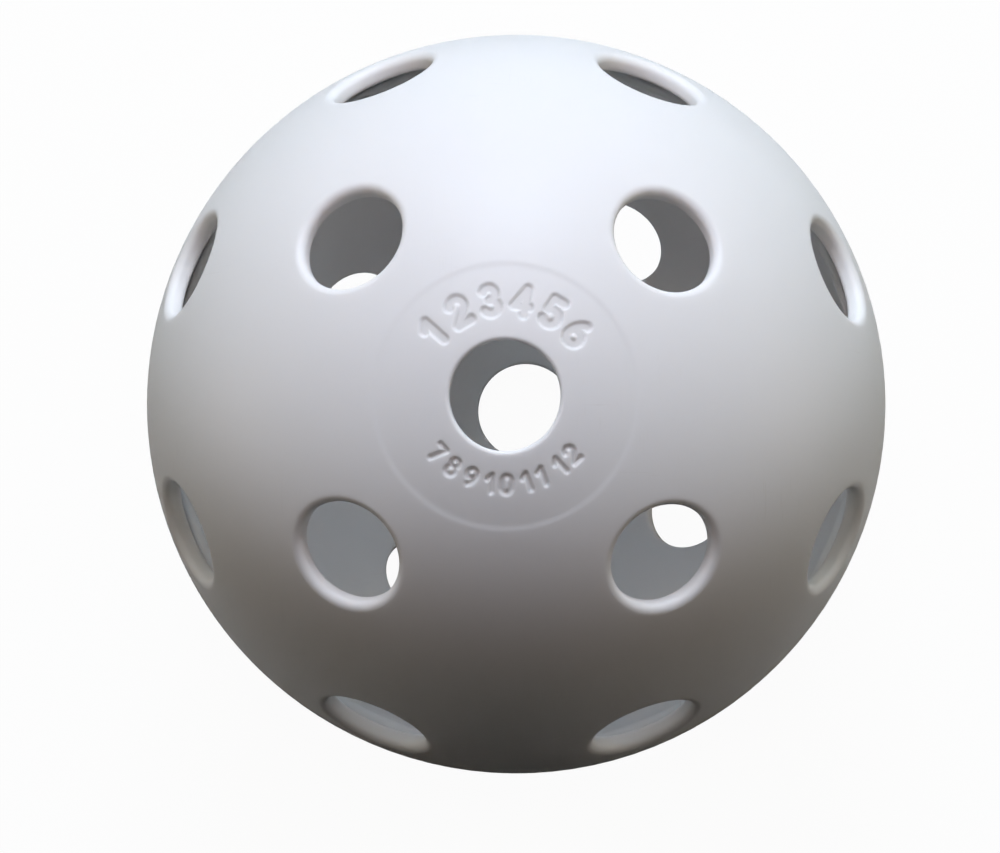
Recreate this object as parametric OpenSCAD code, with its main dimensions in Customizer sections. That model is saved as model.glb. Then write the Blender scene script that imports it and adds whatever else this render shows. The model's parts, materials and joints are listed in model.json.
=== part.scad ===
// Floorball ball: two perforated half shells, moulded alike, turned against each
// other and joined by a hot-plate weld round the equator.
// The origin is the centre of the ball. +Z runs through the pole hole of the front
// half, and both halves mirror each other in the plane of the weld, apart from the
// rear half's turn and the front half's marking plate. Sizes are in millimetres.

/* [Ball] */
// Outside diameter of the finished ball
ball_d = 72; // [70:0.5:74]
// Thickness of the moulded wall
wall_t = 1.8; // [1.6:0.1:2.2]
// Turn of the rear half against the front one, as the two sat in the weld
rear_turn = 16.75; // [0:0.25:90]

/* [Holes] */
// Diameter of the straight bore of every hole
hole_d = 10; // [9:0.25:10.5]
// Round where a hole meets the outside
rim_r = 0.75; // [0.6:0.05:0.9]
// The crisper round of the front pole hole, which the mould's insert shapes
pole_rim_r = 0.35; // [0.25:0.05:0.6]
// Round where a hole meets the inside
lip_r = 0.4; // [0.3:0.05:0.5]
// Angle from the pole to the middle of the upper ring of holes
upper_ring_angle = 35.1; // [33:0.1:37]
// Holes in the upper ring of a half
upper_ring_holes = 4; // [3:1:5]
// Angle from the pole to the middle of the lower ring of holes
lower_ring_angle = 69.8; // [67:0.1:71]
// Holes in the lower ring of a half
lower_ring_holes = 8; // [6:1:9]

/* [Marking plate] */
// Diameter of the shallow plate that the mould's insert leaves round the front pole hole
plate_d = 24; // [20:0.5:28]
// Step down from the wall to the plate
plate_step = 0.06; // [0.04:0.01:0.15]

/* [Weld] */
// Height of the band of plastic that melted and set again between the halves
weld_h = 0.8; // [0.6:0.1:1.2]
// Depth of the band's trimmed outside below the wall
seam_depth = 0.06; // [0.04:0.01:0.12]
// Radius of each of the two rolls of melt that stand up inside
roll_r = 0.5; // [0.4:0.05:0.7]
// Air between a roll and the wall that it curls back to
roll_gap = 0.08; // [0.05:0.01:0.15]

/* [Hidden] */
$fn = 96;
plastic = [0.93, 0.94, 0.95];
melt = [0.86, 0.87, 0.87];

skin_r = ball_d / 2;
core_r = skin_r - wall_t;
hole_r = hole_d / 2;
plate_skin_r = skin_r - plate_step;
// A round crosses the wall's sphere at a few degrees, because a true tangent has no clear edge
crossing = 0.005;
// Turn of a cutter about its own axis, which keeps its start line clear of the wall's
start_turn = 30;
// Overshoot of a cutter past what it cuts
over = 1;
pole = [0, 0];

// Height of a point on a sphere of radius r, at distance x from its axis
function height_on(r, x) = sqrt(r * r - x * x);

// Height of a round's centre along its hole: a rim's of radius c under an outside of radius r, and a lip's
function rim_height(r, c) = height_on(r - c + crossing, hole_r + c);
function lip_height() = height_on(core_r + lip_r - crossing, hole_r + lip_r);

// Distance from the hole's axis at which a round ends on its sphere
function rim_edge(r, c) = (hole_r + c) * r / (r - c + crossing);
function lip_edge() = (hole_r + lip_r) * core_r / (core_r + lip_r - crossing);

// Places of one half's holes, each as [angle from the pole, angle round it]
function ring(angle, count) = [for (i = [0 : count - 1]) [angle, (i + 0.5) * 360 / count]];
ring_places = concat(
    ring(upper_ring_angle, upper_ring_holes),
    ring(lower_ring_angle, lower_ring_holes)
);

// Puts a child that stands on +Z at a place on the ball
module at(place) {
    rotate([0, place[0], place[1]]) children();
}

// Half of a hole's cutter: a straight bore that flares into a round at each face of the wall.
// r is the radius of the outside round the hole, and c that of the rim's round.
module hole_profile(r, c) {
    low = lip_height();
    high = rim_height(r, c);
    translate([0, low - over - wall_t]) square([hole_r, high - low + 2 * (over + wall_t)]);
    difference() {
        translate([0, high]) square([rim_edge(r, c), over + wall_t]);
        translate([hole_r + c, high]) circle(r = c);
    }
    difference() {
        translate([0, low - over - wall_t]) square([lip_edge(), over + wall_t]);
        translate([hole_r + lip_r, low]) circle(r = lip_r);
    }
}

module hole_cutter(r, c) {
    rotate(start_turn) rotate_extrude() hole_profile(r, c);
}

// The wall of one half, from the weld's face up to the pole
module half_wall() {
    rotate_extrude() intersection() {
        difference() {
            circle(r = skin_r);
            circle(r = core_r);
        }
        translate([0, weld_h / 2]) square(skin_r + over);
    }
}

// One half with its thirteen holes; pole_r and pole_c are the pole hole's own outside and rim
module half_shell(pole_r, pole_c) {
    difference() {
        half_wall();
        at(pole) hole_cutter(pole_r, pole_c);
        for (place = ring_places) at(place) hole_cutter(skin_r, rim_r);
    }
}

// What the mould's insert takes off the front half round its pole
module plate_cutter() {
    rotate_extrude() difference() {
        square([plate_d / 2, skin_r + over]);
        circle(r = plate_skin_r);
    }
}

module front_half() {
    color(plastic) difference() {
        half_shell(plate_skin_r, pole_rim_r);
        plate_cutter();
    }
}

module rear_half() {
    color(plastic) rotate([180, 0, 0]) rotate(-rear_turn) half_shell(skin_r, rim_r);
}

// Section of the weld: a trimmed band between the halves and two rolls of melt inside
module weld_profile() {
    roll_x = core_r - roll_gap - roll_r;
    intersection() {
        difference() {
            circle(r = skin_r - seam_depth);
            circle(r = roll_x);
        }
        translate([0, -weld_h / 2]) square([skin_r, weld_h]);
    }
    for (side = [-1, 1]) translate([roll_x, side * roll_r * 0.8]) circle(r = roll_r);
}

module weld_bead() {
    color(melt) rotate_extrude() weld_profile();
}

front_half();
rear_half();
weld_bead();
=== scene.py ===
# Floorball ball: the two half shells and the weld in moulded plastic, the photograph's view and its light.
# Lengths are in metres and angles in degrees. The origin is the middle of the ball, and +Z runs out
# through the pole hole of the front half.
import json

import bpy
import numpy as np
from mathutils import Matrix, Vector

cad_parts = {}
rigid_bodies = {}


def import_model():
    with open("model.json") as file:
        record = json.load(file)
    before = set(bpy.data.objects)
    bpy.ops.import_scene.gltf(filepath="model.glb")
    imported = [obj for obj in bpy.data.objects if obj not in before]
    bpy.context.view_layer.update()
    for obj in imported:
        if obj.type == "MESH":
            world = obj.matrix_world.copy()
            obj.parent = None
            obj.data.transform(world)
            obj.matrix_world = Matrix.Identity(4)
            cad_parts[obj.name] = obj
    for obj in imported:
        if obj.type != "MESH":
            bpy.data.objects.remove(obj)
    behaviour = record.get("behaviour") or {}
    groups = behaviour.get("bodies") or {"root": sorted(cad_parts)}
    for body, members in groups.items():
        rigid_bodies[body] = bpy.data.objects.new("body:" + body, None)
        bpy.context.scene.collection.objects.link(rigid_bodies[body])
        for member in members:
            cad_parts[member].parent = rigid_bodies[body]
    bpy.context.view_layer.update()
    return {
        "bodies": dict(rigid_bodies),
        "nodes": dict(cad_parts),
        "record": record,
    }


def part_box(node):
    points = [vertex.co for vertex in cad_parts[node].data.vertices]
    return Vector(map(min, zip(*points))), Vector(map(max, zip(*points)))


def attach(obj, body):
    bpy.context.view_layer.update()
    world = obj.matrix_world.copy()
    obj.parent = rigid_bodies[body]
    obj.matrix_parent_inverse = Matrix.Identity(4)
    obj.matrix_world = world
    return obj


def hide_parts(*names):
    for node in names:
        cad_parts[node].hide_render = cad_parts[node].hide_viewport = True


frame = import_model()
print("frame loaded:", sorted(frame["nodes"]))

# Sizes of a moulded half; the first three are the frame's own
shell = {
    "skin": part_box("front_half")[1].x,
    "weldFace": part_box("front_half")[0].z,
    "bore": frame["record"]["mounts"][0]["dims"]["r_mm"] / 1000,
    "wall": 0.0018,
    "rimRound": 0.00075,
    "poleRimRound": 0.00035,  # the front pole hole is crisper than the others
    "lipRound": 0.0004,
    "upperRing": 35.1,       # angle of a ring of holes from the pole
    "lowerRing": 69.8,
    "upperCount": 4,
    "lowerCount": 8,
    "rearTurn": 16.75,
    "plateRadius": 0.012,
    "plateStep": 0.00006,
    "plateEdge": 0.0006,      # width over which the plate's edge falls away
}

# Where the wall is divided into one cell round each hole, and how finely a cell is drawn
cells = {
    "poleEdge": 21.5,         # angle from the pole to the edge of the pole hole's cell
    "ringEdge": 51.75,        # angle from the pole to the line between the two rings' cells
    "coarseStep": 5.0,        # angle between the pole cell's columns
    "fineStep": 0.5,          # the same where the dial's numbers stand
    "sideColumns": 18,        # columns up each side of a ring's cell
    "lowerColumns": 12,       # columns along the top and the bottom of a lower cell
    "wallRows": 12,
    "crowding": 1.4,          # above 1, the outside's rows crowd towards the hole
    "rimRows": 9,
    "boreRows": 4,
    "lipRows": 5,
    "plateRows": (3, 8, 5, 5),    # off the plate, over its edge, up to the numbers, beside the hole
    "numberStep": 0.00008,    # between the rows under the numbers
    "edgeFade": 0.0008,       # distance over which the mark of a hole's edge fades out
    "insideCourse": (-0.2, 2.0),  # of the inside mark over a hole's rows: 0 is outside and 1 inside
    "sameBearing": 1e-6,      # bearings closer together than this are one
    "samePoint": 1e-7,        # points closer together than about this become one
}

# Numbers 1 to 12 pressed into the plate by the mould, in an arch over the pole hole and one under it
dial = {
    "depth": 0.00024,
    "softEdge": 0.00036,      # width of a stroke's sloping side
    "reach": 60.0,            # the finely drawn part on each side of an arch, a multiple of coarseStep
    "digitWidth": 0.56,       # of a digit 1 high
    "digitGap": 1.5,          # room between two digits' lines, in strokes
    "arcPoints": 15,
    "arches": (
        {"side": 1, "numbers": range(1, 7), "radius": 0.0087,
         "height": 0.0032, "stroke": 0.00085, "gap": 0.0008},
        {"side": -1, "numbers": range(7, 13), "radius": 0.0080,
         "height": 0.0019, "stroke": 0.0004, "gap": 0.00065},
    ),
}


def unit(vectors):
    # Each vector divided by its length
    return vectors / np.linalg.norm(vectors, axis=-1, keepdims=True)


def smooth(x):
    # 0 below 0, 1 above 1, and 3x^2 - 2x^3 between
    x = np.clip(x, 0, 1)
    return x * x * (3 - 2 * x)


def onSphere(angle, bearing):
    # Unit vectors at an angle from +Z and at a bearing from +X, both in degrees
    angle, bearing = np.broadcast_arrays(np.radians(angle), np.radians(bearing))
    return np.stack([np.sin(angle) * np.cos(bearing), np.sin(angle) * np.sin(bearing), np.cos(angle)], -1)


def holeSection(skin, rim):
    # Section of a hole's edge in the plane of its axis, as distances from the axis and heights along it:
    # a quarter round from the outside to the bore, the straight bore, a smaller round to the inside.
    # Each round is centre + radius * (sin a, cos a), and meets its sphere where a points at the origin.
    bore, lip = shell["bore"], shell["lipRound"]
    core = shell["skin"] - shell["wall"]
    rimHeight = np.sqrt((skin - rim) ** 2 - (bore + rim) ** 2)
    lipHeight = np.sqrt((core + lip) ** 2 - (bore + lip) ** 2)
    rimTurn = np.arctan2(bore + rim, rimHeight)
    lipTurn = np.arctan2(bore + lip, lipHeight)
    a = np.linspace(rimTurn, -np.pi / 2, cells["rimRows"])
    b = np.linspace(-np.pi / 2, lipTurn - np.pi, cells["lipRows"])
    straight = np.linspace(rimHeight, lipHeight, cells["boreRows"] + 2)[1:-1]
    away = np.concatenate([
        bore + rim + rim * np.sin(a),
        np.full(len(straight), bore),
        bore + lip + lip * np.sin(b),
    ])
    height = np.concatenate([rimHeight + rim * np.cos(a), straight, lipHeight + lip * np.cos(b)])
    return away, height, rimTurn, lipTurn


def holeCell(axis, border, skinAt=None):
    # The wall round one hole as a grid. Columns are the bearings of the border's points round the hole,
    # rows run from the border over the outside, through the hole and back over the inside to the border.
    # A wall point is radius * (cos a * axis + sin a * bearing), with a from the border to the round.
    # skinAt, where given, shapes the outside of the front half's plate.
    cosine = border @ axis
    bearing = unit(border - cosine[:, None] * axis)
    reach = np.arccos(cosine)
    skin, rim = shell["skin"], shell["rimRound"]
    share = 1 - np.linspace(1, 0, cells["wallRows"] + 1) ** cells["crowding"]
    if skinAt is not None:
        skin, rim = shell["skin"] - shell["plateStep"], shell["poleRimRound"]
        share = rowShares(reach)
    core = shell["skin"] - shell["wall"]
    away, height, rimTurn, lipTurn = holeSection(skin, rim)
    out = reach + (rimTurn - reach) * share[:-1, None]
    back = np.linspace(0, 1, cells["wallRows"] // 2 + 1)[1:, None]
    home = lipTurn + (reach - lipTurn) * back
    outer = np.cos(out)[..., None] * axis + np.sin(out)[..., None] * bearing
    depth = np.zeros(out.shape)
    radius = np.full(out.shape, shell["skin"])
    if skinAt is not None:
        radius, depth = skinAt(outer)
    hole = height[:, None, None] * axis + away[:, None, None] * bearing
    inner = core * (np.cos(home)[..., None] * axis + np.sin(home)[..., None] * bearing)
    points = np.concatenate([radius[..., None] * outer, hole, inner])
    marks = cellMarks(points.shape[:2], len(out), len(height), (out - rimTurn) * shell["skin"], depth)
    return points, marks


def rowShares(reach):
    # Where the plate's rows stand, as shares of the way from the border to the hole's round: close
    # together over the plate's edge and over the dial's numbers
    skin, plate, edge = shell["skin"], shell["plateRadius"], shell["plateEdge"]
    away, _, rimTurn, _ = holeSection(skin - shell["plateStep"], shell["poleRimRound"])
    tallest = max(arch["height"] for arch in dial["arches"]) / 2 + dial["softEdge"]
    top = max(arch["radius"] for arch in dial["arches"]) + tallest
    low = min(arch["radius"] for arch in dial["arches"]) - tallest
    offPlate, overEdge, toNumbers, besideHole = cells["plateRows"]
    stops = np.concatenate([
        np.linspace(skin * np.sin(reach.max()), plate + edge, offPlate + 1)[:-1],
        np.linspace(plate + edge, plate - edge, overEdge + 1)[:-1],
        np.linspace(plate - edge, top, toNumbers + 1)[:-1],
        np.arange(top, low, -cells["numberStep"]),
        np.linspace(low, away[0], besideHole),
    ])
    angle = np.arcsin(np.clip(stops / skin, 0, 1))
    return (reach.max() - angle) / (reach.max() - rimTurn)


def cellMarks(shape, wallRows, holeRows, distance, depth):
    # Three values at each point, which the plastic reads: closeness to a hole's rounded edge,
    # how far inside the ball the point lies, and how deep it lies in a pressed number
    edge = np.zeros(shape)
    inside = np.zeros(shape)
    pressed = np.zeros(shape)
    edge[:wallRows] = np.exp(-distance / cells["edgeFade"])
    edge[wallRows:wallRows + holeRows] = 1
    course = np.linspace(*cells["insideCourse"], holeRows)
    inside[wallRows:wallRows + holeRows] = smooth(course)[:, None]
    inside[wallRows + holeRows:] = 1
    pressed[:wallRows] = depth
    return np.stack([edge, inside, pressed], -1)


def gridFaces(rows, columns):
    # Squares between neighbouring rows and columns; the columns close into a ring
    row, column = np.mgrid[0:rows - 1, 0:columns]
    after = (column + 1) % columns
    quads = [
        row * columns + column,
        row * columns + after,
        (row + 1) * columns + after,
        (row + 1) * columns + column,
    ]
    return np.stack(quads, -1).reshape(-1, 4)


def ringBorder(top, bottom, west, east, topBearings, bottomColumns):
    # Border of a ring's cell, counter-clockwise from outside: along the bottom, up the east side,
    # back along the top and down the west side. The last point of each side starts the next.
    sides = np.linspace(bottom, top, cells["sideColumns"] + 1)
    return np.concatenate([
        onSphere(bottom, np.linspace(west, east, bottomColumns + 1)[:-1]),
        onSphere(sides[:-1], east),
        onSphere(top, topBearings[::-1][:-1]),
        onSphere(sides[::-1][:-1], west),
    ])


def halfShell(poleBearings, skinAt=None):
    # A whole half: the pole hole's cell and the cells of the two rings, joined along their borders
    weldAngle = np.degrees(np.arccos(shell["weldFace"] / shell["skin"]))
    upperSpan = 360 / shell["upperCount"]
    lowerSpan = 360 / shell["lowerCount"]
    lowerColumns = cells["lowerColumns"]
    slack = cells["sameBearing"]
    pole = onSphere(cells["poleEdge"], poleBearings[:-1])
    axis = np.array([0.0, 0.0, 1.0])
    parts = [(*holeCell(axis, pole, skinAt), 0)]
    for k in range(shell["upperCount"]):
        west, east = k * upperSpan, (k + 1) * upperSpan
        top = poleBearings[(poleBearings >= west - slack) & (poleBearings <= east + slack)]
        columns = round(upperSpan / lowerSpan) * lowerColumns
        border = ringBorder(cells["poleEdge"], cells["ringEdge"], west, east, top, columns)
        axis = onSphere(shell["upperRing"], (west + east) / 2)
        parts.append((*holeCell(axis, border), 0))
    for k in range(shell["lowerCount"]):
        west, east = k * lowerSpan, (k + 1) * lowerSpan
        top = np.linspace(west, east, lowerColumns + 1)
        border = ringBorder(cells["ringEdge"], weldAngle, west, east, top, lowerColumns)
        axis = onSphere(shell["lowerRing"], (west + east) / 2)
        parts.append((*holeCell(axis, border), lowerColumns))
    points, marks, faces, count = [], [], [], 0
    for grid, values, closing in parts:
        rows, columns = grid.shape[:2]
        quads = gridFaces(rows, columns)
        j = np.arange(closing)                      # the weld's face closes the bottom side of a lower cell
        last = (rows - 1) * columns
        quads = np.concatenate([quads, np.stack([j, last + j, last + j + 1, j + 1], -1)])
        points.append(grid.reshape(-1, 3))
        marks.append(values.reshape(-1, 3))
        faces.append(quads + count)
        count += rows * columns
    return joined(np.concatenate(points), np.concatenate(faces), np.concatenate(marks))


def joined(points, faces, marks):
    # Points that fall into the same small cube become one; the shift keeps round places off its sides
    shift = 0.37
    key = np.floor(points / cells["samePoint"] + shift).astype(np.int64)
    _, first, place = np.unique(key, axis=0, return_index=True, return_inverse=True)
    faces = place.reshape(-1)[faces]
    return points[first], faces, marks[first]


def arc(x, y, radius, start, end, squash=1.0):
    # Points along part of a circle, or of an ellipse squash times as high
    a = np.radians(np.linspace(start, end, dial["arcPoints"]))
    return np.stack([x + radius * np.cos(a), y + squash * radius * np.sin(a)], -1)


def digitStrokes(digit):
    # The centre lines of a plain digit, in a box digitWidth wide and 1 high: straight pieces and arcs
    r = dial["digitWidth"] / 2
    lines = {
        "0": [np.concatenate([arc(r, 1 - r, r, 0, 180), arc(r, r, r, 180, 360), [[2 * r, 1 - r]]])],
        "1": [np.array([[0.06, 0.76], [0.34, 1.0], [0.34, 0.0]])],
        "2": [np.concatenate([arc(r, 1 - r, r, 165, -30), [[0.0, 0.0], [2 * r, 0.0]]])],
        "3": [arc(r, 0.765, 0.235, 150, -90), arc(r, 0.265, 0.265, 90, -150)],
        "4": [np.array([[0.42, 0.0], [0.42, 1.0], [0.0, 0.3], [0.56, 0.3]])],
        "5": [np.concatenate([[[0.5, 1.0], [0.08, 1.0], [0.04, 0.54]], arc(r, 0.3, 0.3, 125, -145)])],
        "6": [arc(r, r, r, 0, 360), arc(0.62, 0.26, 0.62, 178, 118, 1.2)],
        "7": [np.array([[0.0, 1.0], [0.56, 1.0], [0.2, 0.0]])],
        "8": [arc(r, 0.76, 0.24, 0, 360), arc(r, 0.26, 0.26, 0, 360)],
        "9": [arc(r, 1 - r, r, 0, 360), arc(-0.06, 0.74, 0.62, -2, -62, 1.2)],
    }
    return lines[digit]


def strokeDistance(x, y, line):
    # Distance from points to the nearest place on a chain of straight pieces. On a piece that place is
    # start + t * (end - start), with t between 0 and 1.
    best = np.full(x.shape, np.inf)
    for (x0, y0), (x1, y1) in zip(line[:-1], line[1:]):
        dx, dy = x1 - x0, y1 - y0
        t = np.clip(((x - x0) * dx + (y - y0) * dy) / (dx * dx + dy * dy), 0, 1)
        best = np.minimum(best, np.hypot(x - x0 - t * dx, y - y0 - t * dy))
    return best


def numberWidth(number, arch):
    # Width of a number's centre lines, and the step from one of its digits to the next
    wide = dial["digitWidth"] * (arch["height"] - arch["stroke"])
    step = wide + arch["stroke"] * dial["digitGap"]
    return (len(str(number)) - 1) * step + wide, step


def numberDepth(x, y, number, arch):
    # Share of the full depth at points of a number's own plane, with the origin in its middle:
    # 1 on the stroke's flat bottom, falling to 0 over the sloping sides
    tall = arch["height"] - arch["stroke"]
    width, step = numberWidth(number, arch)
    depth = np.zeros(x.shape)
    for k, digit in enumerate(str(number)):
        left = k * step - width / 2
        for line in digitStrokes(digit):
            away = strokeDistance((x - left) / tall, (y + tall / 2) / tall, line) * tall
            depth = np.maximum(depth, smooth((arch["stroke"] / 2 - away) / dial["softEdge"] + 0.5))
    return depth


def archDepth(x, y, arch):
    # The numbers of an arch, side by side with an even gap and all read from below. One that is turned
    # by t about the pole has its upright along (side * sin t, cos t).
    widths = np.array([numberWidth(number, arch)[0] for number in arch["numbers"]])
    room = widths + arch["stroke"] + arch["gap"]
    middles = np.cumsum(room) - room / 2 - room.sum() / 2
    depth = np.zeros(x.shape)
    side = arch["side"]
    for number, t in zip(arch["numbers"], middles / arch["radius"]):
        across = x * np.cos(t) - side * y * np.sin(t)
        along = side * x * np.sin(t) + y * np.cos(t) - side * arch["radius"]
        depth = np.maximum(depth, numberDepth(across, along, number, arch))
    return depth


def plateSkin(outward):
    # Radius of the front half's outside round its pole: the wall, the plate's small step down and the
    # pressed numbers. outward holds unit vectors; the share of the numbers' depth comes back as well.
    skin = shell["skin"]
    x, y = outward[..., 0] * skin, outward[..., 1] * skin
    away = np.hypot(x, y)
    radius = skin - shell["plateStep"] * smooth((shell["plateRadius"] - away) / shell["plateEdge"] + 0.5)
    depth = np.maximum.reduce([archDepth(x, y, arch) for arch in dial["arches"]])
    return radius - dial["depth"] * depth, depth


def plateBearings():
    # Bearings of the pole cell's columns: fine under the numbers, coarse between the two arches
    reach, coarse, fine = dial["reach"], cells["coarseStep"], cells["fineStep"]
    return np.concatenate([
        np.arange(0, 90 - reach, coarse),
        np.arange(90 - reach, 90 + reach, fine),
        np.arange(90 + reach, 270 - reach, coarse),
        np.arange(270 - reach, 270 + reach, fine),
        np.arange(270 + reach, 360 + coarse / 2, coarse),
    ])


def makePiece(name, points, faces, marks, material):
    # A mesh with the plastic's three marks on its points; only edges over 60 degrees look sharp
    mesh = bpy.data.meshes.new(name)
    mesh.from_pydata(points, [], faces.tolist())
    for index, title in enumerate(("edge", "inside", "pressed")):
        attribute = mesh.attributes.new(title, "FLOAT", "POINT")
        attribute.data.foreach_set("value", marks[:, index].astype(np.float32))
    mesh.shade_smooth()
    mesh.set_sharp_from_angle(angle=np.radians(60))
    mesh.materials.append(material)
    piece = bpy.data.objects.new(name, mesh)
    bpy.context.collection.objects.link(piece)
    print(name, "has", len(points), "points and", len(faces), "faces")
    return piece


# The ring of plastic that melted and set again between the halves
weld = {
    "seamDepth": 0.00006,
    "seamShape": 6,           # the higher, the flatter the groove's bottom
    "seamWander": 0.25,       # how much the groove's depth changes round the ball
    "rollRadius": 0.0005,
    "rollGap": 0.00008,
    "rollRise": 0.0004,       # height of a roll's middle above the weld's own middle
    "rollWander": 0.07,       # how much a roll's thickness and place change round the ball
    "seeds": (5, 2, 3.3),     # for the groove's depth, the rolls' thickness and the rolls' place
    "columns": 420,
    "seamRows": 9,
    "rollRows": 26,
}


def wander(bearing, seed):
    # A slow, closed wave round the ball, between about -1 and 1: five sines with whole numbers of turns
    turns = np.array([3, 7, 13, 22, 41])
    size = np.array([0.35, 0.3, 0.2, 0.15, 0.1])
    phase = seed * np.array([1.3, 2.9, 4.1, 5.3, 0.7])
    return (size * np.sin(bearing[:, None] * turns + phase)).sum(1)


def weldBead():
    # Section carried round the equator. Outside: the wall's line less a shallow trimmed groove,
    # depth * (1 - (z / half)^shape). Inside: two rolls, centre + radius * (cos a, sin a), which meet
    # in a valley.
    half = shell["weldFace"]
    core = shell["skin"] - shell["wall"]
    bearing = np.linspace(0, 2 * np.pi, weld["columns"], endpoint=False)
    seamSeed, thicknessSeed, placeSeed = weld["seeds"]
    z = np.linspace(half, -half, weld["seamRows"])
    groove = weld["seamDepth"] * (1 - (z / half) ** weld["seamShape"])
    uneven = 1 + weld["seamWander"] * wander(bearing, seamSeed)
    outside = np.sqrt(shell["skin"] ** 2 - z ** 2)[:, None] - groove[:, None] * uneven
    rows = [(outside, np.repeat(z[:, None], len(bearing), 1))]
    middle = core - weld["rollGap"] - weld["rollRadius"]
    valley = np.pi + np.arcsin(weld["rollRise"] / weld["rollRadius"])
    for side in (-1, 1):
        a = np.linspace(0, -valley, weld["rollRows"])[:, None]
        if side == 1:
            a = -a[::-1]
        free = weld["rollWander"] * np.sin(a / 2) ** 2      # 0 where the roll meets the wall
        radius = weld["rollRadius"] * (1 + free * wander(bearing, thicknessSeed + side))
        lean = free * weld["rollRadius"] * wander(bearing, placeSeed + side)
        x = middle + radius * np.cos(a) + lean
        rows.append((x, side * weld["rollRise"] + radius * np.sin(a)))
    away = np.concatenate([row[0] for row in rows])
    height = np.concatenate([row[1] for row in rows])
    points = np.stack([away * np.cos(bearing), away * np.sin(bearing), height], -1)
    rowCount, columns = away.shape
    # The rows close into a ring as well, so the last row meets the first
    faces = gridFaces(rowCount + 1, columns) % (rowCount * columns)
    inside = np.repeat((np.arange(rowCount) >= len(z)).astype(float), columns)
    marks = np.stack([0 * inside, inside, 0 * inside], -1)
    return points.reshape(-1, 3), faces[:, ::-1], marks


def nodeGroup(name, inputs, outputs):
    # An empty shader node group with its sockets; a socket is (name, kind, value)
    group = bpy.data.node_groups.new(name, "ShaderNodeTree")
    for title, kind, value in inputs:
        socket = group.interface.new_socket(title, in_out="INPUT", socket_type="NodeSocket" + kind)
        if value is not None:
            socket.default_value = value
    for title, kind in outputs:
        group.interface.new_socket(title, in_out="OUTPUT", socket_type="NodeSocket" + kind)
    return group, group.nodes.new("NodeGroupInput"), group.nodes.new("NodeGroupOutput")


def addNode(tree, kind, **settings):
    # A shader node; a setting that names a socket is its value or the socket that feeds it
    node = tree.nodes.new("ShaderNode" + kind)
    sockets = settings.pop("sockets", {})
    for key, value in settings.items():
        setattr(node, key, value)
    for key, value in sockets.items():
        if isinstance(value, bpy.types.NodeSocket):
            tree.links.new(value, node.inputs[key])
        else:
            node.inputs[key].default_value = value
    return node


def mathNode(tree, operation, first, second=0.0, third=0.0):
    return addNode(tree, "Math", operation=operation, sockets={0: first, 1: second, 2: third}).outputs[0]


def rampUp(tree, value, band):
    # 0 below the band, 1 above it and even between
    return addNode(tree, "MapRange", sockets={0: value, 1: band[0], 2: band[1]}).outputs[0]


def mixColour(tree, share, first, second):
    # The Mix node's colour sockets are 6 and 7, and its colour comes out of 2
    mix = addNode(tree, "Mix", data_type="RGBA", sockets={"Factor": share, 6: first, 7: second})
    return mix.outputs[2]


def noise(tree, place, size, detail=2.0, roughness=0.5):
    # Noise whose blotches are about size metres across
    scaled = mathNode(tree, "DIVIDE", 1.0, size) if isinstance(size, bpy.types.NodeSocket) else 1 / size
    given = {"Vector": place, "Scale": scaled, "Detail": detail, "Roughness": roughness}
    return addNode(tree, "TexNoise", sockets=given).outputs[0]


def mouldedSkinGroup():
    # Tint, gloss and relief of moulded plastic: broad clouding, a soft ripple and a fine grain.
    # Gloss goes with cloud + grain - 1, and height is ripple + grainShare * grain.
    grainShare = 0.12
    group, given, result = nodeGroup(
        "mouldedSkin",
        [("Place", "Vector", None), ("Cloud size", "Float", 0.02), ("Ripple size", "Float", 0.004),
         ("Grain size", "Float", 0.0003), ("Roughness", "Float", 0.45), ("Spread", "Float", 0.08)],
        [("Tint", "Float"), ("Roughness", "Float"), ("Height", "Float")],
    )
    place = given.outputs["Place"]
    cloud = noise(group, place, given.outputs["Cloud size"], 3.0)
    ripple = noise(group, place, given.outputs["Ripple size"], 1.0)
    grain = noise(group, place, given.outputs["Grain size"], 2.0, 0.6)
    gloss = mathNode(group, "SUBTRACT", mathNode(group, "ADD", cloud, grain), 1.0)
    rough = mathNode(group, "MULTIPLY_ADD", gloss, given.outputs["Spread"], given.outputs["Roughness"])
    height = mathNode(group, "MULTIPLY_ADD", grain, grainShare, ripple)
    group.links.new(cloud, result.inputs["Tint"])
    group.links.new(rough, result.inputs["Roughness"])
    group.links.new(height, result.inputs["Height"])
    return group


# Marks of use, the same on both plastics
wear = {
    # each run of hairlines has a turn and its noise's stretch along three axes
    "runs": ((0.4, (5200, 130, 400)), (1.5, (300, 6000, 150)), (2.5, (4600, 260, 220))),
    "waviness": 0.6,
    "hairBand": (0.69, 0.76),     # level of the noise at which a hairline starts, and is full
    "patchSize": 0.014,
    "patchBand": (0.5, 0.68),     # the same for the patches where hairlines show
    "cleanShare": 0.72,           # of the places where a speck could be
}


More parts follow.
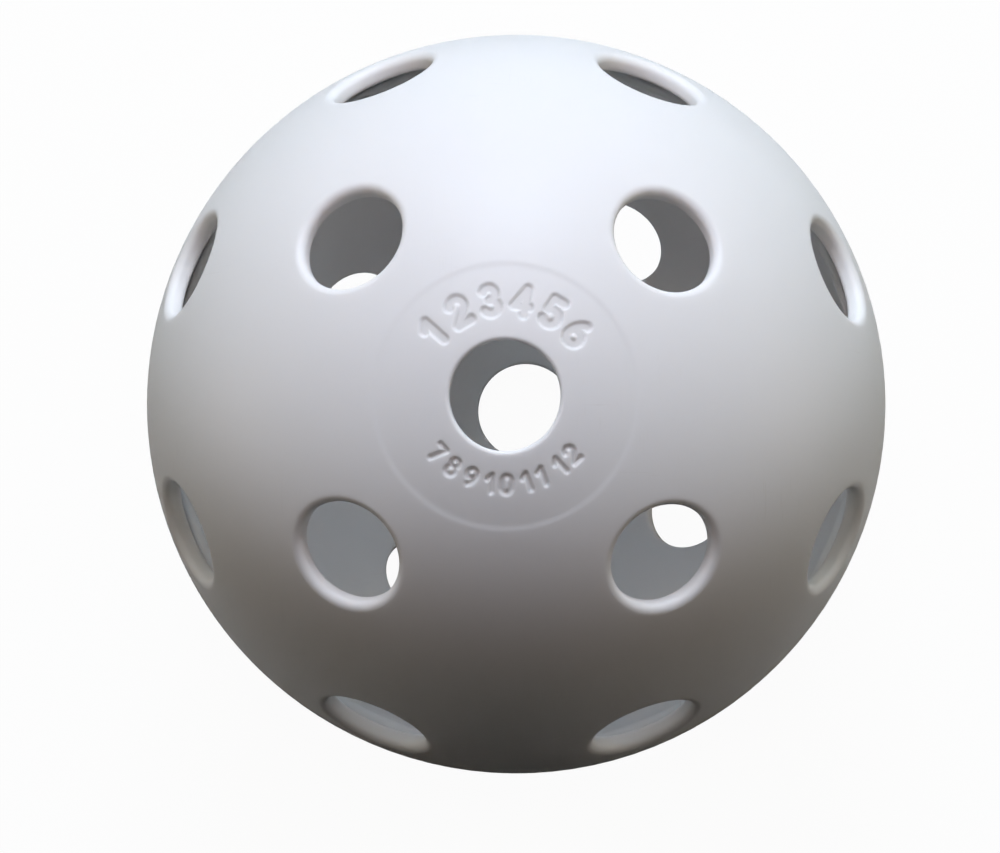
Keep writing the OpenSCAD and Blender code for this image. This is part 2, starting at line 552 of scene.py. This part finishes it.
def handlingGroup():
    # Marks of use: hairline scuffs in three directions, broken up by a mask, and a few specks of dirt
    group, given, result = nodeGroup(
        "handlingMarks",
        [("Place", "Vector", None), ("Scuff amount", "Float", 0.5), ("Speck spacing", "Float", 0.006),
         ("Speck size", "Float", 0.02)],
        [("Scuffs", "Float"), ("Specks", "Float")],
    )
    place = given.outputs["Place"]
    scuffs = None
    for turn, stretch in wear["runs"]:
        run = {"Vector": place, "Rotation": (turn, turn * 2, -turn), "Scale": stretch}
        moved = addNode(group, "Mapping", sockets=run).outputs[0]
        fine = {"Vector": moved, "Scale": 1.0, "Detail": 1.0, "Distortion": wear["waviness"]}
        streak = addNode(group, "TexNoise", sockets=fine).outputs[0]
        line = rampUp(group, streak, wear["hairBand"])
        scuffs = line if scuffs is None else mathNode(group, "MAXIMUM", scuffs, line)
    patch = rampUp(group, noise(group, place, wear["patchSize"], 2.0), wear["patchBand"])
    scuffs = mathNode(group, "MULTIPLY", scuffs, patch)
    scuffs = mathNode(group, "MULTIPLY", scuffs, given.outputs["Scuff amount"])
    spacing = mathNode(group, "DIVIDE", 1.0, given.outputs["Speck spacing"])
    spots = addNode(group, "TexVoronoi", sockets={"Vector": place, "Scale": spacing})
    chosen = addNode(group, "SeparateColor", sockets={0: spots.outputs["Color"]})
    size = mathNode(group, "MULTIPLY", given.outputs["Speck size"], chosen.outputs[1])
    near = mathNode(group, "LESS_THAN", spots.outputs["Distance"], size)
    kept = mathNode(group, "GREATER_THAN", chosen.outputs[0], wear["cleanShare"])
    specks = mathNode(group, "MULTIPLY", near, kept)
    group.links.new(scuffs, result.inputs["Scuffs"])
    group.links.new(specks, result.inputs["Specks"])
    return group


def mark(tree, name):
    # One of the three values that a piece's points carry
    return addNode(tree, "Attribute", attribute_name=name).outputs["Fac"]


def plastic(name, look):
    # White polyethylene: light scatters a little way under a satin skin. The inside of the ball is painted
    # lighter than the outside: painted light that stands in for the light inside the ball.
    material = bpy.data.materials.new(name)
    material.use_nodes = True
    tree = material.node_tree
    shader = tree.nodes["Principled BSDF"]
    place = addNode(tree, "TexCoord").outputs["Object"]
    skin = tree.nodes.new("ShaderNodeGroup")
    skin.node_tree = skinGroup
    handling = tree.nodes.new("ShaderNodeGroup")
    handling.node_tree = wearGroup
    for group in (skin, handling):
        tree.links.new(place, group.inputs["Place"])
    for socket in ("Cloud size", "Ripple size", "Grain size", "Roughness", "Spread"):
        skin.inputs[socket].default_value = look[socket]
    handling.inputs["Scuff amount"].default_value = look["Scuff amount"]
    scuffs = handling.outputs["Scuffs"]
    inside = mark(tree, "inside")
    tint = rampUp(tree, skin.outputs["Tint"], look["tintBand"])
    colour = mixColour(tree, tint, look["shade"], look["colour"])
    # painted light: towards the inside of the ball the colour turns into a lighter one, standing in for
    # light inside the ball
    colour = mixColour(tree, inside, colour, look["paintedInsideLight"])
    dust = mathNode(tree, "MULTIPLY", mark(tree, "pressed"), look["pressedDust"])
    colour = mixColour(tree, dust, colour, look["dust"])
    scuffed = mathNode(tree, "MULTIPLY", scuffs, look["scuffDust"])
    colour = mixColour(tree, scuffed, colour, look["dust"])
    colour = mixColour(tree, handling.outputs["Specks"], colour, look["dirt"])
    rough = mathNode(tree, "MULTIPLY_ADD", inside, look["insideGloss"], skin.outputs["Roughness"])
    rough = mathNode(tree, "MULTIPLY_ADD", mark(tree, "edge"), look["edgeGloss"], rough)
    rough = mathNode(tree, "MULTIPLY_ADD", scuffs, look["scuffGloss"], rough)
    relief = mathNode(tree, "MULTIPLY_ADD", scuffs, look["scuffRelief"], skin.outputs["Height"])
    given = {"Height": relief, "Strength": look["relief"], "Distance": look["reliefDepth"]}
    bump = addNode(tree, "Bump", sockets=given)
    tree.links.new(colour, shader.inputs["Base Color"])
    tree.links.new(rough, shader.inputs["Roughness"])
    tree.links.new(bump.outputs["Normal"], shader.inputs["Normal"])
    shader.inputs["IOR"].default_value = look["ior"]
    shader.inputs["Specular IOR Level"].default_value = look["specular"]
    shader.inputs["Subsurface Weight"].default_value = look["scatter"]
    shader.inputs["Subsurface Radius"].default_value = look["scatterReach"]
    shader.inputs["Subsurface Scale"].default_value = look["scatterDepth"]
    return material


skinGroup = mouldedSkinGroup()
wearGroup = handlingGroup()

# Names that start with a capital are the groups' own inputs; a gloss is added to the roughness
shellLook = {
    "colour": (0.815, 0.815, 0.82, 1),
    "shade": (0.795, 0.795, 0.8, 1),
    # painted light: the lighter colour of the inside, which stands in for the light inside the ball
    "paintedInsideLight": (0.965, 0.965, 0.965, 1),
    "dust": (0.62, 0.6, 0.56, 1),
    "dirt": (0.2, 0.15, 0.09, 1),
    "tintBand": (0.3, 0.7),   # level of the clouding at which shade turns into colour
    "Cloud size": 0.022,
    "Ripple size": 0.005,
    "Grain size": 0.0003,
    "Roughness": 0.46,
    "Spread": 0.1,
    "Scuff amount": 0.35,
    "scuffDust": 0.35,
    "pressedDust": 0.12,
    "insideGloss": 0.06,
    "edgeGloss": -0.05,
    "scuffGloss": 0.15,
    "scuffRelief": -0.3,
    "relief": 0.35,
    "reliefDepth": 0.00004,
    "ior": 1.5,
    "specular": 0.25,
    "scatter": 1.0,
    "scatterReach": (1.0, 0.97, 0.94),    # red goes a little further than blue
    "scatterDepth": 0.0007,
}
weldLook = {
    **shellLook,
    "colour": (0.8, 0.8, 0.795, 1),
    "shade": (0.76, 0.76, 0.75, 1),
    # painted light: the weld's lighter inside colour, which stands in for the light inside the ball
    "paintedInsideLight": (0.93, 0.93, 0.925, 1),
    "Cloud size": 0.006,
    "Ripple size": 0.0012,
    "Grain size": 0.00012,
    "Roughness": 0.56,
    "insideGloss": -0.24,
    "Scuff amount": 1.0,
    "relief": 0.8,
}
shellPlastic = plastic("shell_polyethylene", shellLook)
weldPlastic = plastic("weld_polyethylene", weldLook)
print("plastics made")

frontPiece = makePiece("front_half_moulding", *halfShell(plateBearings(), plateSkin), shellPlastic)
rearBearings = np.arange(0, 360 + cells["coarseStep"] / 2, cells["coarseStep"])
rearPoints, rearFaces, rearMarks = halfShell(rearBearings)
rearTurn = Matrix.Rotation(np.pi, 3, "X") @ Matrix.Rotation(-np.radians(shell["rearTurn"]), 3, "Z")
rearPoints = rearPoints @ np.array(rearTurn).T
rearPiece = makePiece("rear_half_moulding", rearPoints, rearFaces, rearMarks, shellPlastic)
weldPiece = makePiece("weld_bead_set", *weldBead(), weldPlastic)
for piece, node, slotName in (
    (frontPiece, "front_half", "shell_plastic"),
    (rearPiece, "rear_half", "shell_plastic"),
    (weldPiece, "weld_bead", "weld_plastic"),
):
    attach(piece, "root" if "root" in frame["bodies"] else sorted(frame["bodies"])[0])
    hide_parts(node)
print("pieces in place")

# The photograph's view, in its pixels: the ball's outline there is a circle
view = {
    "width": 1000,
    "height": 853,
    "ballX": 516.2,
    "ballY": 404.2,
    "ballRadius": 369.3,
    "distance": 0.441,        # from the camera to the middle of the ball, in metres
    "sensor": 36.0,           # in millimetres
    "nod": -1.26,             # turns of the ball against the camera, in degrees
    "turn": -1.65,
    "roll": -0.5,
}


def makeCamera():
    # The outline's radius is focal * radius / sqrt(distance^2 - radius^2), which gives the focal length
    radius, distance = shell["skin"], view["distance"]
    focal = view["ballRadius"] * np.sqrt(distance ** 2 - radius ** 2) / radius
    ballToCamera = (
        Matrix.Rotation(np.radians(view["turn"]), 4, "Y")
        @ Matrix.Rotation(np.radians(view["nod"]), 4, "X")
        @ Matrix.Rotation(np.radians(view["roll"]), 4, "Z")
    )
    data = bpy.data.cameras.new("photo_camera")
    data.sensor_width = view["sensor"]
    data.lens = focal * view["sensor"] / view["width"]
    data.shift_x = (view["width"] / 2 - view["ballX"]) / view["width"]
    data.shift_y = (view["ballY"] - view["height"] / 2) / view["width"]
    data.clip_start = 0.01
    camera = bpy.data.objects.new("photo_camera", data)
    camera.matrix_world = ballToCamera.transposed() @ Matrix.Translation((0, 0, distance))
    bpy.context.collection.objects.link(camera)
    bpy.context.scene.camera = camera


# Soft panels round the ball: the way to each, its distance and size, and the light of its face.
# turn goes from the front to the right, rise goes up, both in degrees.
panels = {
    "key_panel": {"turn": 0, "rise": 56, "distance": 0.9, "size": 0.36, "light": (12.5, 14.6, 16.6)},
    "front_panel": {"turn": 0, "rise": 8, "distance": 0.9, "size": 0.15, "light": (11.0, 9.8, 8.0)},
    "near_panel": {"turn": 0, "rise": 32, "distance": 0.16, "size": 0.064, "light": (3.3, 2.5, 2.8)},
    "right_high_panel": {"turn": 75, "rise": 42, "distance": 0.3, "size": 0.12, "light": (3.0, 3.2, 3.1)},
    "left_high_panel": {"turn": -75, "rise": 42, "distance": 0.3, "size": 0.12, "light": (1.9, 1.9, 1.75)},
    "right_panel": {"turn": 90, "rise": 0, "distance": 0.3, "size": 0.12, "light": (2.9, 2.5, 2.0)},
    "left_panel": {"turn": -90, "rise": 0, "distance": 0.3, "size": 0.12, "light": (2.9, 2.55, 2.1)},
}
surroundings = {
    "ambient": (0.004, 0.004, 0.005, 1),
    "floorSize": 3.0,
    "floorPale": (0.9, 0.9, 0.9, 1),
    "floorBounce": (0.06, 0.055, 0.05, 1),
    "floorWhite": 0.96,       # share of plain white in what the camera sees of the floor
}


def makePanel(name, given):
    # The lamp's power is the light of its face * pi * its area, and its colour carries the tint
    turn, rise = np.radians(given["turn"]), np.radians(given["rise"])
    way = Vector((np.sin(turn) * np.cos(rise), np.sin(rise), np.cos(turn) * np.cos(rise)))
    strongest = max(given["light"])
    data = bpy.data.lights.new(name, "AREA")
    data.shape = "SQUARE"
    data.size = given["size"]
    data.energy = strongest * np.pi * given["size"] ** 2
    data.color = [level / strongest for level in given["light"]]
    lamp = bpy.data.objects.new(name, data)
    lamp.location = way * given["distance"]
    lamp.rotation_mode = "QUATERNION"
    lamp.rotation_quaternion = way.to_track_quat("Z", "Y")
    lamp.visible_camera = False
    bpy.context.collection.objects.link(lamp)


def seenRays(tree):
    # 1 for what the camera, gloss or glass looks at, 0 for light that only brightens a surface
    path = addNode(tree, "LightPath").outputs
    both = mathNode(tree, "MAXIMUM", path["Is Glossy Ray"], path["Is Transmission Ray"])
    return mathNode(tree, "MAXIMUM", path["Is Camera Ray"], both), path["Is Camera Ray"]


def makeFloor():
    # A level square at the rear pole's height, which looks near white and gives the ball little light
    size, height = surroundings["floorSize"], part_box("rear_half")[0].z
    corners = [(-size, -size, height), (size, -size, height), (size, size, height), (-size, size, height)]
    mesh = bpy.data.meshes.new("floor")
    mesh.from_pydata(corners, [], [(0, 1, 2, 3)])
    material = bpy.data.materials.new("floor")
    material.use_nodes = True
    tree = material.node_tree
    tree.nodes.remove(tree.nodes["Principled BSDF"])
    seen, camera = seenRays(tree)
    colour = mixColour(tree, seen, surroundings["floorBounce"], surroundings["floorPale"])
    lit = addNode(tree, "BsdfDiffuse", sockets={"Color": colour})
    white = addNode(tree, "Emission", sockets={"Color": (1, 1, 1, 1), "Strength": 1.0})
    share = mathNode(tree, "MULTIPLY", camera, surroundings["floorWhite"])
    mix = addNode(tree, "MixShader", sockets={0: share, 1: lit.outputs[0], 2: white.outputs[0]})
    tree.links.new(mix.outputs[0], tree.nodes["Material Output"].inputs["Surface"])
    mesh.materials.append(material)
    floor = bpy.data.objects.new("floor", mesh)
    bpy.context.collection.objects.link(floor)


def makeWorld():
    # White to look at, and only a faint light on the ball
    world = bpy.data.worlds.new("studio")
    world.use_nodes = True
    tree = world.node_tree
    seen, camera = seenRays(tree)
    colour = mixColour(tree, seen, surroundings["ambient"], (1, 1, 1, 1))
    tree.links.new(colour, tree.nodes["Background"].inputs["Color"])
    bpy.context.scene.world = world


makeCamera()
for name, given in panels.items():
    makePanel(name, given)
makeFloor()
makeWorld()
bpy.context.scene.view_settings.view_transform = "Standard"
print("camera, panels, floor and backdrop in place")
